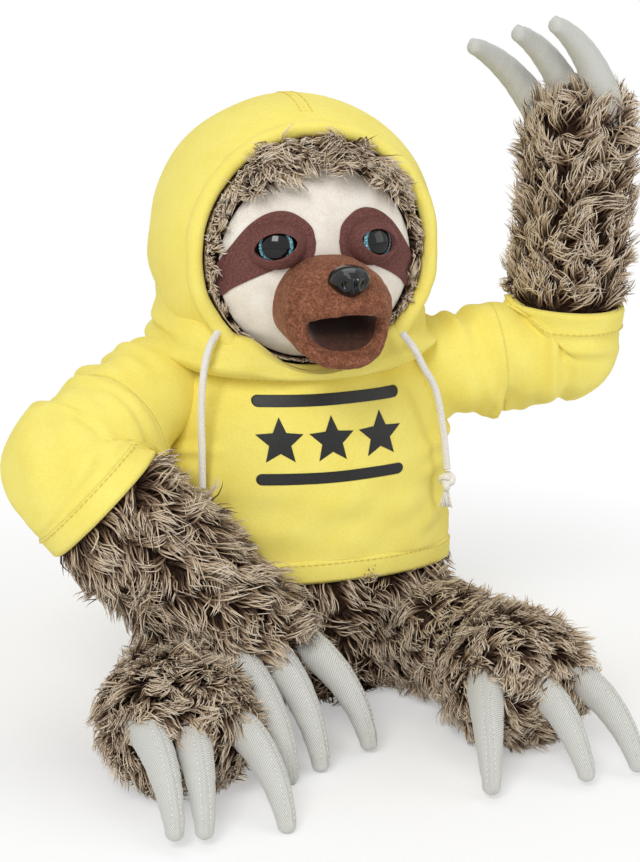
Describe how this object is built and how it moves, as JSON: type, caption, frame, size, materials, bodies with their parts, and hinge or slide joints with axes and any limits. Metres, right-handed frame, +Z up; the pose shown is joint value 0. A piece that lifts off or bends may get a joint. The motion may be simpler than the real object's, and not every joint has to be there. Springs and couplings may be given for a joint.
{
  "type": "plush sloth toy",
  "caption": "Seated plush sloth in a hooded sweatshirt, one arm raised, with curved fabric claws, a hinged mouth and posable limbs.",
  "frame": {"origin": "centre of the flat seat, on the surface that the toy sits on", "axes": "-Y is where the toy faces, +X is the toy's left, +Z is up"},
  "size_m": [0.3093, 0.2507, 0.3199],
  "materials": {
    "fur": "long shaggy plush, dark at the root and pale at the tip",
    "sweatshirt": "matt cotton fleece",
    "face_plush": "short soft pile",
    "patch_plush": "short soft pile",
    "muzzle_plush": "short soft pile",
    "mouth_lining": "flat felt",
    "black_plastic": "polished",
    "washer_plastic": "as moulded",
    "claw_cloth": "fine ribbed cloth",
    "cotton_cord": "braided cotton",
    "armature_wire": "drawn wire",
    "base_cloth": "plain weave"
  },
  "bodies": {
    "torso": {"torso": "fur", "seat_panel": "base_cloth", "pellet_bag": "base_cloth", "shoulder_wire": "armature_wire", "hoodie_body": "sweatshirt", "hem_band": "sweatshirt", "collar": "sweatshirt", "drawstring_left": "cotton_cord", "drawstring_right": "cotton_cord", "knot_left": "cotton_cord", "knot_right": "cotton_cord"},
    "hood": {"hood": "sweatshirt", "hood_rim": "sweatshirt"},
    "head": {"head": "fur", "face_panel": "face_plush", "eye_patch_left": "patch_plush", "eye_patch_right": "patch_plush", "eye_left": "black_plastic", "eye_right": "black_plastic", "eye_washer_left": "washer_plastic", "eye_washer_right": "washer_plastic", "muzzle": "muzzle_plush", "palate": "mouth_lining", "nose": "black_plastic", "nose_washer": "washer_plastic"},
    "jaw": {"jaw": "muzzle_plush", "jaw_lining": "mouth_lining"},
    "upper_arm_left": {"upper_arm_left": "fur", "upper_arm_wire_left": "armature_wire", "sleeve_left": "sweatshirt"},
    "forearm_left": {"forearm_left": "fur", "forearm_wire_left": "armature_wire", "cuff_left": "sweatshirt"},
    "leg_left": {"leg_left": "fur"},
    "foot_left": {"foot_left": "fur"},
    "claw_left_hand_1": {"claw_left_hand_1": "claw_cloth"},
    "claw_left_hand_2": {"claw_left_hand_2": "claw_cloth"},
    "claw_left_hand_3": {"claw_left_hand_3": "claw_cloth"},
    "claw_left_foot_1": {"claw_left_foot_1": "claw_cloth"},
    "claw_left_foot_2": {"claw_left_foot_2": "claw_cloth"},
    "claw_left_foot_3": {"claw_left_foot_3": "claw_cloth"},
    "upper_arm_right": {"upper_arm_right": "fur", "upper_arm_wire_right": "armature_wire", "sleeve_right": "sweatshirt"},
    "forearm_right": {"forearm_right": "fur", "forearm_wire_right": "armature_wire", "cuff_right": "sweatshirt"},
    "leg_right": {"leg_right": "fur"},
    "foot_right": {"foot_right": "fur"},
    "claw_right_hand_1": {"claw_right_hand_1": "claw_cloth"},
    "claw_right_hand_2": {"claw_right_hand_2": "claw_cloth"},
    "claw_right_hand_3": {"claw_right_hand_3": "claw_cloth"},
    "claw_right_foot_1": {"claw_right_foot_1": "claw_cloth"},
    "claw_right_foot_2": {"claw_right_foot_2": "claw_cloth"},
    "claw_right_foot_3": {"claw_right_foot_3": "claw_cloth"}
  },
  "joints": [
    {"name": "head_turn", "type": "hinge", "parent": "torso", "child": "hood", "pos_m": [-0.002, 0, 0.217], "axis": [0, 0, 1], "range_deg": [-15, 15], "stiffness_Nm_per_rad": 0.3},
    {"name": "head_nod", "type": "hinge", "parent": "hood", "child": "head", "pos_m": [-0.002, 0, 0.217], "axis": [1, 0, 0], "range_deg": [-5, 5], "stiffness_Nm_per_rad": 0.3},
    {"name": "jaw_hinge", "type": "hinge", "parent": "head", "child": "jaw", "pos_m": [-0.002, -0.0615, 0.1945], "axis": [1, 0, 0], "range_deg": [-22, 3], "stiffness_Nm_per_rad": 0.05},
    {"name": "shoulder_left", "type": "hinge", "parent": "torso", "child": "upper_arm_left", "pos_m": [0.0675, 0, 0.15], "axis": [0, -1, 0], "range_deg": [-35, 16]},
    {"name": "elbow_left", "type": "hinge", "parent": "upper_arm_left", "child": "forearm_left", "pos_m": [0.1333, -0.0096, 0.15822], "axis": [-0.1483, -0.9884, -0.0336], "range_deg": [-60, 6]},
    {"name": "hip_left", "type": "hinge", "parent": "torso", "child": "leg_left", "pos_m": [0.042, -0.016, 0.0295], "axis": [0, 0, 1], "range_deg": [-4, 12]},
    {"name": "ankle_left", "type": "hinge", "parent": "leg_left", "child": "foot_left", "pos_m": [0.07127, -0.08505, 0.0295], "axis": [0.9968, 0.0797, 0], "range_deg": [-12, 0]},
    {"name": "claw_left_hand_1_flex", "type": "hinge", "parent": "forearm_left", "child": "claw_left_hand_1", "pos_m": [0.1267, 0.0003, 0.26314], "axis": [0.5236, -0.7223, 0.4519], "range_deg": [-12, 12], "stiffness_Nm_per_rad": 0.02},
    {"name": "claw_left_foot_1_flex", "type": "hinge", "parent": "foot_left", "child": "claw_left_foot_1", "pos_m": [0.05397, -0.11954, 0.0325], "axis": [0.9539, -0.2974, 0.0392], "range_deg": [-12, 0], "stiffness_Nm_per_rad": 0.02},
    {"name": "claw_left_hand_2_flex", "type": "hinge", "parent": "forearm_left", "child": "claw_left_hand_2", "pos_m": [0.1366, -0.013, 0.26693], "axis": [0.5688, -0.7695, 0.2903], "range_deg": [-12, 12], "stiffness_Nm_per_rad": 0.02},
    {"name": "claw_left_foot_2_flex", "type": "hinge", "parent": "foot_left", "child": "claw_left_foot_2", "pos_m": [0.0739, -0.11795, 0.0325], "axis": [0.9797, 0.2, -0.0127], "range_deg": [-12, 0], "stiffness_Nm_per_rad": 0.02},
    {"name": "claw_left_hand_3_flex", "type": "hinge", "parent": "forearm_left", "child": "claw_left_hand_3", "pos_m": [0.14649, -0.02629, 0.27072], "axis": [0.5822, -0.7819, 0.2229], "range_deg": [-12, 12], "stiffness_Nm_per_rad": 0.02},
    {"name": "claw_left_foot_3_flex", "type": "hinge", "parent": "foot_left", "child": "claw_left_foot_3", "pos_m": [0.09384, -0.11635, 0.0325], "axis": [0.948, 0.3172, -0.0253], "range_deg": [-12, 0], "stiffness_Nm_per_rad": 0.02},
    {"name": "shoulder_right", "type": "hinge", "parent": "torso", "child": "upper_arm_right", "pos_m": [-0.0675, 0, 0.15], "axis": [-1, 0, 0], "range_deg": [0, 45]},
    {"name": "elbow_right", "type": "hinge", "parent": "upper_arm_right", "child": "forearm_right", "pos_m": [-0.1179, -0.04782, 0.12602], "axis": [-0.7061, -0.4858, -0.5152], "range_deg": [0, 30]},
    {"name": "hip_right", "type": "hinge", "parent": "torso", "child": "leg_right", "pos_m": [-0.042, -0.032, 0.0295], "axis": [0, 0, 1], "range_deg": [-10, 0]},
    {"name": "ankle_right", "type": "hinge", "parent": "leg_right", "child": "foot_right", "pos_m": [-0.08566, -0.09298, 0.0295], "axis": [0.9938, 0.0497, -0.0994], "range_deg": [-12, 0]},
    {"name": "claw_right_hand_1_flex", "type": "hinge", "parent": "forearm_right", "child": "claw_right_hand_1", "pos_m": [-0.05386, -0.09328, 0.04518], "axis": [0.9261, 0.3766, 0.0208], "range_deg": [-12, 0], "stiffness_Nm_per_rad": 0.02},
    {"name": "claw_right_foot_1_flex", "type": "hinge", "parent": "foot_right", "child": "claw_right_foot_1", "pos_m": [-0.10389, -0.12693, 0.03449], "axis": [0.9848, 0.136, -0.1081], "range_deg": [-12, 0], "stiffness_Nm_per_rad": 0.02},
    {"name": "claw_right_hand_2_flex", "type": "hinge", "parent": "forearm_right", "child": "claw_right_hand_2", "pos_m": [-0.03769, -0.0854, 0.04586], "axis": [0.9261, 0.3766, 0.0208], "range_deg": [-12, 0], "stiffness_Nm_per_rad": 0.02},
    {"name": "claw_right_foot_2_flex", "type": "hinge", "parent": "foot_right", "child": "claw_right_foot_2", "pos_m": [-0.08402, -0.12594, 0.0325], "axis": [0.9956, -0.0197, -0.0919], "range_deg": [-12, 0], "stiffness_Nm_per_rad": 0.02},
    {"name": "claw_right_hand_3_flex", "type": "hinge", "parent": "forearm_right", "child": "claw_right_hand_3", "pos_m": [-0.02153, -0.07751, 0.04655], "axis": [0.8092, 0.582, 0.0806], "range_deg": [-12, 0], "stiffness_Nm_per_rad": 0.02},
    {"name": "claw_right_foot_3_flex", "type": "hinge", "parent": "foot_right", "child": "claw_right_foot_3", "pos_m": [-0.06414, -0.12494, 0.03051], "axis": [0.9444, 0.3049, -0.1229], "range_deg": [-12, 0], "stiffness_Nm_per_rad": 0.02}
  ]
}
